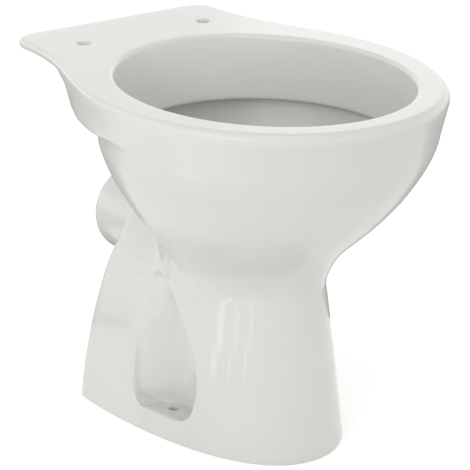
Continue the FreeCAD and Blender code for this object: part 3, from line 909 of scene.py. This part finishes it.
# %% [markdown]
# ## Outlet, flush socket and trap
# These are pipes, so they are turned or swept from rings. The outlet's end and the socket's mouth get
# rolled lips. The trap is a U-bend and a riser behind the bowl, which nobody sees but which you would
# find if you looked down the throat or under the foot.

# %% Outlet
OUTLET_Z, OUTLET_R, OUTLET_BORE, OUTLET_END_Y, OUTLET_ROLL = 180, 51, 40, 203, 5.5
OUTLET_SIDE_Y, OUTLET_BORE_Y = (104, 138, 160, 180), (170, 138, 120, 104)


def rolled_lip(radius, end, roll, rows):
    """The round end of a pipe, from its outside over the edge to its bore."""
    return [(radius - roll + roll * sin(turn), end - roll + roll * cos(turn))
            for turn in np.linspace(pi / 2, -pi / 2, rows)]


outlet_profile = [(OUTLET_R, y) for y in OUTLET_SIDE_Y] + rolled_lip(OUTLET_R, OUTLET_END_Y, OUTLET_ROLL, 11)
outlet_profile += [(OUTLET_BORE, y) for y in OUTLET_BORE_Y]
outlet = turned("outlet", outlet_profile, (0, 0, OUTLET_Z), "Y", 96)

# %% Flush socket
SOCKET_Z, SOCKET_R, SOCKET_BORE, SOCKET_END_Y, SOCKET_ROLL = 340, 35.5, 27.5, 205, 4
SOCKET_SIDE_Y, SOCKET_BORE_Y, SOCKET_DEEP_Y, SOCKET_CORNER = (142, 165, 185), 190, 165, 2
PASSAGE_R, PASSAGE_RISE, PASSAGE_Y = 16, 9, (146, 172)
socket_profile = [(SOCKET_R, y) for y in SOCKET_SIDE_Y] + rolled_lip(SOCKET_R, SOCKET_END_Y, SOCKET_ROLL, 9)
socket_profile += [(SOCKET_BORE, SOCKET_BORE_Y), (SOCKET_BORE, SOCKET_DEEP_Y + SOCKET_CORNER),
                   (SOCKET_BORE - SOCKET_CORNER, SOCKET_DEEP_Y), (12, SOCKET_DEEP_Y), (CORE, SOCKET_DEEP_Y),
                   (CORE, SOCKET_SIDE_Y[0])]
socket = turned("flush_socket", socket_profile, (0, 0, SOCKET_Z), "Y", 72)
passage_profile = [(CORE, PASSAGE_Y[0])] + [(PASSAGE_R, y) for y in PASSAGE_Y] + [(CORE, PASSAGE_Y[1])]
passage = turned("passage_plug", passage_profile, (0, 0, SOCKET_Z + PASSAGE_RISE), "Y")
cut_away(socket, passage)

# %% Trap
TRAP_R, BEND_R, RISER_Y = 46, 48, 81
RISER_END_Y = (132, 137)


def pipe(name, stops, outer, bore, stations=64):
    """A pipe along stops, each a place and the angle of its cross section about x."""
    angles = np.arange(stations) * 2 * pi / stations

    def rings(radius):
        across = radius * np.cos(angles)
        return [np.column_stack([radius * np.sin(angles), y + across * cos(lean), z + across * sin(lean)])
                for y, z, lean in stops]

    return stack_loops(name, rings(outer) + rings(bore)[::-1])


bend_stops = [(THROAT_Y + BEND_R - BEND_R * cos(turn), BEND_Z - BEND_R * sin(turn), turn)
              for turn in np.linspace(0, pi, 33)]
trap_bend = pipe("trap_bend", bend_stops, TRAP_R, BORE)
turn_z = OUTLET_Z - BEND_R
riser_stops = [(RISER_Y, z, pi) for z in np.linspace(BEND_Z, turn_z, 5)[:-1]]
riser_stops += [(RISER_Y + BEND_R - BEND_R * cos(turn), turn_z + BEND_R * sin(turn), pi - turn)
                for turn in np.linspace(0, pi / 2, 17)]
riser_stops += [(y, OUTLET_Z, pi / 2) for y in RISER_END_Y]
trap_leg = pipe("trap_riser_pipe", riser_stops, TRAP_R, BORE)

# %% [markdown]
# ## Hiding the seams
# The rim, bowl, foot and apron meet on shared loops. Each shell shades its own last row, so a faint
# line would show. Where two shells meet smoothly, both get the same averaged normal on the shared loop.

# %% Shared normals on the seams
PLACE_STEPS, MEETS_SMOOTHLY, SAME_NORMAL = 1e5, 0.9, 0.995


def corners_by_place(mesh):
    """The mesh's face corners, gathered by the place they lie at."""
    places = {}
    for corner in mesh.loops:
        key = tuple(round(v * PLACE_STEPS) for v in mesh.vertices[corner.vertex_index].co)
        places.setdefault(key, []).append(corner.index)
    return places


def hide_seam(one, other):
    """Both meshes get the mean of their normals wherever they meet smoothly."""
    first, second = one.data, other.data
    normals_a = [c.vector.copy() for c in first.corner_normals]
    normals_b = [c.vector.copy() for c in second.corner_normals]
    places_a, places_b = corners_by_place(first), corners_by_place(second)
    shared = 0
    for key in places_a.keys() & places_b.keys():
        pairs = [(normals_a[i].dot(normals_b[j]), i, j) for i in places_a[key] for j in places_b[key]]
        match, i, j = max(pairs)
        if match > MEETS_SMOOTHLY:
            old_a, old_b = normals_a[i].copy(), normals_b[j].copy()
            mean = (old_a + old_b).normalized()
            for normals, places, old in ((normals_a, places_a, old_a), (normals_b, places_b, old_b)):
                for corner in places[key]:
                    if normals[corner].dot(old) > SAME_NORMAL:
                        normals[corner] = mean
            shared += 1
    first.normals_split_custom_set(normals_a)
    second.normals_split_custom_set(normals_b)
    print("seam of", one.name, "and", other.name, shared, "shared places")


hide_seam(rim, bowl)
hide_seam(bowl, foot)
hide_seam(rim, apron)

# %% [markdown]
# ## The glaze
# Vitreous china is a near-white body under a clear glass. Real glaze is never perfectly even: it is a
# shade warmer where it pooled, and its surface has long, shallow waves. Both come from noise on object
# coordinates. Glaze runs down while it is fired, so it is thicker and glossier on the foot, and a little
# softer on the bowl and the rim. That comes from the height. It could be painted, but nodes are cleaner.

# %% Colour of the glaze
THIN_GLAZE, POOLED_GLAZE = (0.635, 0.637, 0.602, 1), (0.665, 0.667, 0.634, 1)


def add_node(tree, kind, **inputs):
    """A new node in a tree, with its inputs set. An underscore in a name stands for a space."""
    node = tree.nodes.new(kind)
    for name, value in inputs.items():
        node.inputs[name.replace("_", " ")].default_value = value
    return node


china = bpy.data.materials.new("glazed_china")
china.use_nodes = True
tree = china.node_tree
shader = tree.nodes["Principled BSDF"]
shader.inputs["IOR"].default_value = 1.5
place = add_node(tree, "ShaderNodeTexCoord")
cloud = add_node(tree, "ShaderNodeTexNoise", Scale=7.0, Detail=3.0)
tone = add_node(tree, "ShaderNodeValToRGB")
for stop, position, colour in zip(tone.color_ramp.elements, (0.3, 0.7), (THIN_GLAZE, POOLED_GLAZE)):
    stop.position = position
    stop.color = colour
tree.links.new(place.outputs["Object"], cloud.inputs["Vector"])
tree.links.new(cloud.outputs["Fac"], tone.inputs["Fac"])
tree.links.new(tone.outputs["Color"], shader.inputs["Base Color"])
print("glaze colour from", THIN_GLAZE[:3], "to", POOLED_GLAZE[:3])

# %% Gloss and waves of the glaze
gloss = add_node(tree, "ShaderNodeMapRange", To_Min=0.07, To_Max=0.12)
height = add_node(tree, "ShaderNodeSeparateXYZ")
softer = add_node(tree, "ShaderNodeMapRange", From_Min=0.16, From_Max=0.26, To_Max=0.13)
softer.interpolation_type = "SMOOTHSTEP"
roughness = add_node(tree, "ShaderNodeMath")
tree.links.new(cloud.outputs["Fac"], gloss.inputs["Value"])
tree.links.new(place.outputs["Object"], height.inputs["Vector"])
tree.links.new(height.outputs["Z"], softer.inputs["Value"])
tree.links.new(gloss.outputs["Result"], roughness.inputs[0])
tree.links.new(softer.outputs["Result"], roughness.inputs[1])
tree.links.new(roughness.outputs["Value"], shader.inputs["Roughness"])
waves = add_node(tree, "ShaderNodeTexNoise", Scale=38.0, Detail=1.0)
bump = add_node(tree, "ShaderNodeBump", Strength=0.05, Distance=0.0006)
tree.links.new(place.outputs["Object"], waves.inputs["Vector"])
tree.links.new(waves.outputs["Fac"], bump.inputs["Height"])
tree.links.new(bump.outputs["Normal"], shader.inputs["Normal"])
print("glaze has", len(tree.nodes), "nodes")

# %% Glaze on every piece
pieces = [rim, apron, bowl, foot, outlet, socket, trap_bend, trap_leg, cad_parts["channel_floor"]]
for piece in pieces:
    piece.data.materials.clear()
    piece.data.materials.append(china)
print("glaze on", len(pieces), "pieces")

# %% [markdown]
# ## Pieces in the frame
# Every piece rides on the one body of the pan, and hides the plain solids that it stands for. The floor
# of the flush channel keeps its own solid, which is right as it is.

# %% Ride and replace
stands_for = {
    rim: ("seat_deck", "rim_band", "rim_ledge"),
    apron: ("apron",),
    bowl: ("bowl", "bowl_well"),
    foot: ("pedestal", "fixing_pocket_right", "fixing_pocket_left"),
    outlet: ("outlet_spigot",),
    socket: ("flush_inlet",),
    trap_bend: ("trap_sump",),
    trap_leg: ("trap_riser",),
}
for piece, nodes in stands_for.items():
    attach(piece, "root")
    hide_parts(*nodes)
print(len(stands_for), "pieces stand for", sum(len(nodes) for nodes in stands_for.values()), "solids")

# %% [markdown]
# ## Studio floor
# The pan stands on pale paper, as in a catalogue. The paper is matt. A faint glow, which only the camera
# and mirrored rays see, lifts it to white without more light on the pan.

# %% Floor
PAPER, PAPER_GLOW = (0.86, 0.86, 0.85, 1), (0.35, 0.35, 0.35, 1)
bpy.ops.object.select_all(action="DESELECT")
bpy.ops.mesh.primitive_plane_add(size=30)
floor = bpy.context.object
floor.name = "studio_floor"
paper = bpy.data.materials.new("studio_paper")
paper.use_nodes = True
tree = paper.node_tree
shader = tree.nodes["Principled BSDF"]
shader.inputs["Base Color"].default_value = PAPER
shader.inputs["Roughness"].default_value = 0.9
shader.inputs["Specular IOR Level"].default_value = 0.0
seen = add_node(tree, "ShaderNodeLightPath")
mirrored = add_node(tree, "ShaderNodeMath")
shown = add_node(tree, "ShaderNodeMath")
shown.use_clamp = True
glow = add_node(tree, "ShaderNodeEmission", Color=PAPER_GLOW)
both = add_node(tree, "ShaderNodeAddShader")
tree.links.new(seen.outputs["Is Glossy Ray"], mirrored.inputs[0])
tree.links.new(seen.outputs["Is Transmission Ray"], mirrored.inputs[1])
tree.links.new(seen.outputs["Is Camera Ray"], shown.inputs[0])
tree.links.new(mirrored.outputs["Value"], shown.inputs[1])
tree.links.new(shown.outputs["Value"], glow.inputs["Strength"])
tree.links.new(shader.outputs["BSDF"], both.inputs[0])
tree.links.new(glow.outputs["Emission"], both.inputs[1])
tree.links.new(both.outputs["Shader"], tree.nodes["Material Output"].inputs["Surface"])
floor.data.materials.append(paper)
print("floor", floor.name)

# %% [markdown]
# ## Studio light
# Most of the light comes from the world around, which is bright near the horizon and dimmer overhead, so
# upright walls are as pale as level ones. A key lamp on the left models the bowl, a small lamp above
# gives the rim and the deck their brighter tops, and a faint one behind edges the rim.

# %% World
HORIZON, OVERHEAD, OVERHEAD_FROM = 1.5, 0.68, 0.8
world = bpy.data.worlds.new("studio")
bpy.context.scene.world = world
world.use_nodes = True
tree = world.node_tree
around = add_node(tree, "ShaderNodeTexCoord")
split = add_node(tree, "ShaderNodeSeparateXYZ")
fall = add_node(tree, "ShaderNodeMapRange", From_Max=OVERHEAD_FROM, To_Min=HORIZON, To_Max=OVERHEAD)
fall.interpolation_type = "SMOOTHSTEP"
background = tree.nodes["Background"]
background.inputs["Color"].default_value = (1, 1, 1, 1)
tree.links.new(around.outputs["Generated"], split.inputs["Vector"])
tree.links.new(split.outputs["Z"], fall.inputs["Value"])
tree.links.new(fall.outputs["Result"], background.inputs["Strength"])
print("world from", HORIZON, "at the horizon to", OVERHEAD, "overhead")


# %% Soft lamps
def lamp(name, place, aim, size, power):
    """A soft lamp at a place, turned towards a point."""
    bpy.ops.object.light_add(type="AREA", location=place)
    light = bpy.context.object
    light.name = name
    light.data.shape = "RECTANGLE"
    light.data.size, light.data.size_y = size
    light.data.energy = power
    way = np.asarray(aim, float) - np.asarray(place, float)
    level = float(np.hypot(way[0], way[1]))
    light.rotation_euler = (np.arctan2(level, -way[2]), 0, np.arctan2(way[1], way[0]) - pi / 2)
    print(name, round(power, 3), "W")
    return light


lamp("key_lamp", place=(-1.5, -0.5, 1.3), aim=(0, 0, 0.2), size=(1.2, 1.2), power=6.0)
lamp("top_lamp", place=(-0.2, -0.3, 2.0), aim=(0, 0, 0.39), size=(0.55, 0.55), power=2.4)
lamp("rim_lamp", place=(1.40, 1.35, 0.95), aim=(0.1, 0, 0.39), size=(0.7, 0.5), power=0.5)

# %% [markdown]
# ## Streaks on the column
# Glossy china mirrors its surroundings, and the front column shows a few upright streaks. Three pairs of
# narrow strip lamps make them: one of each pair stands and leans, and the other lies on the floor, so
# that the column mirrors the two as one long line. The camera doesn't see the lamps themselves.

# %% Strip lamps
COLUMN_PLACE = np.array([-0.06, -0.07])
STRIP_GLOW = 2.2 * pi
UPRIGHT_LONG, UPRIGHT_LEAN = 0.15, radians(43)
FLOOR_LONG, FLOOR_TURN, FLOOR_HEIGHT = 0.26, radians(-5), 0.004
# place, width of the standing strip, width of the lying strip
strips = (((-0.704, 0.065, 0.055), 0.030, 0.022),
          ((-0.708, -0.070, 0.055), 0.014, 0.012),
          ((-0.682, -0.235, 0.055), 0.022, 0.016))
for number, (spot, width, floor_width) in enumerate(strips, 1):
    upright = lamp("strip_lamp_%d" % number, spot, (*COLUMN_PLACE, spot[2]), (width, UPRIGHT_LONG),
                   STRIP_GLOW * width * UPRIGHT_LONG)
    leaning = upright.rotation_euler.to_matrix() @ Matrix.Rotation(UPRIGHT_LEAN, 3, "Z")
    upright.rotation_euler = leaning.to_euler()
    azimuth = np.arctan2(spot[1] - COLUMN_PLACE[1], spot[0] - COLUMN_PLACE[0]) + FLOOR_TURN
    middle = np.array(spot[:2]) - np.array([cos(azimuth), sin(azimuth)]) * FLOOR_LONG / 2
    lying = lamp("floor_strip_%d" % number, (*middle, FLOOR_HEIGHT), (*middle, 1), (floor_width, FLOOR_LONG),
                 STRIP_GLOW * floor_width * FLOOR_LONG)
    lying.rotation_euler = (pi, 0, azimuth - pi / 2)
    upright.visible_camera = lying.visible_camera = False

# %% [markdown]
# ## Dark edges
# White china on white paper needs a dark line along its edges. Photographers lay a grey card behind such
# a thing, where only its grazing edges mirror it. This card is hidden from the camera and from soft
# light, so it changes nothing but those reflections.

# %% Grey card
CARD_PLACE, CARD_TURN, CARD_SIZE = (0.68, 0.93, 0.002), radians(-36.4), (3.2, 1.8, 1)
CARD_GREY, CARD_ROUGH = (0.25, 0.25, 0.25, 1), 0.9
bpy.ops.mesh.primitive_plane_add(size=1, location=CARD_PLACE, rotation=(0, 0, CARD_TURN))
card = bpy.context.object
card.name = "edge_card"
card.scale = CARD_SIZE
card.visible_camera = card.visible_diffuse = card.visible_shadow = False
grey = bpy.data.materials.new("grey_card")
grey.use_nodes = True
shader = grey.node_tree.nodes["Principled BSDF"]
shader.inputs["Base Color"].default_value = CARD_GREY
shader.inputs["Roughness"].default_value = CARD_ROUGH
card.data.materials.append(grey)
print("card", card.name)

# %% [markdown]
# ## Camera
# The camera looks down on the pan from the front left, through a long lens that keeps its lines calm.

# %% Camera
CAMERA_PLACE = (-1.06380, -1.43728, 0.90905)
CAMERA_DOWN, CAMERA_TURN = 21.4524, -36.4291
SENSOR, LENS = 36, 139.75
bpy.ops.object.camera_add(location=CAMERA_PLACE,
                          rotation=(radians(90 - CAMERA_DOWN), 0, radians(CAMERA_TURN)))
camera = bpy.context.object
camera.data.sensor_width = SENSOR
camera.data.lens = LENS
bpy.context.scene.camera = camera
bpy.context.scene.view_settings.view_transform = "Standard"
print("camera looks", CAMERA_DOWN, "degrees down")
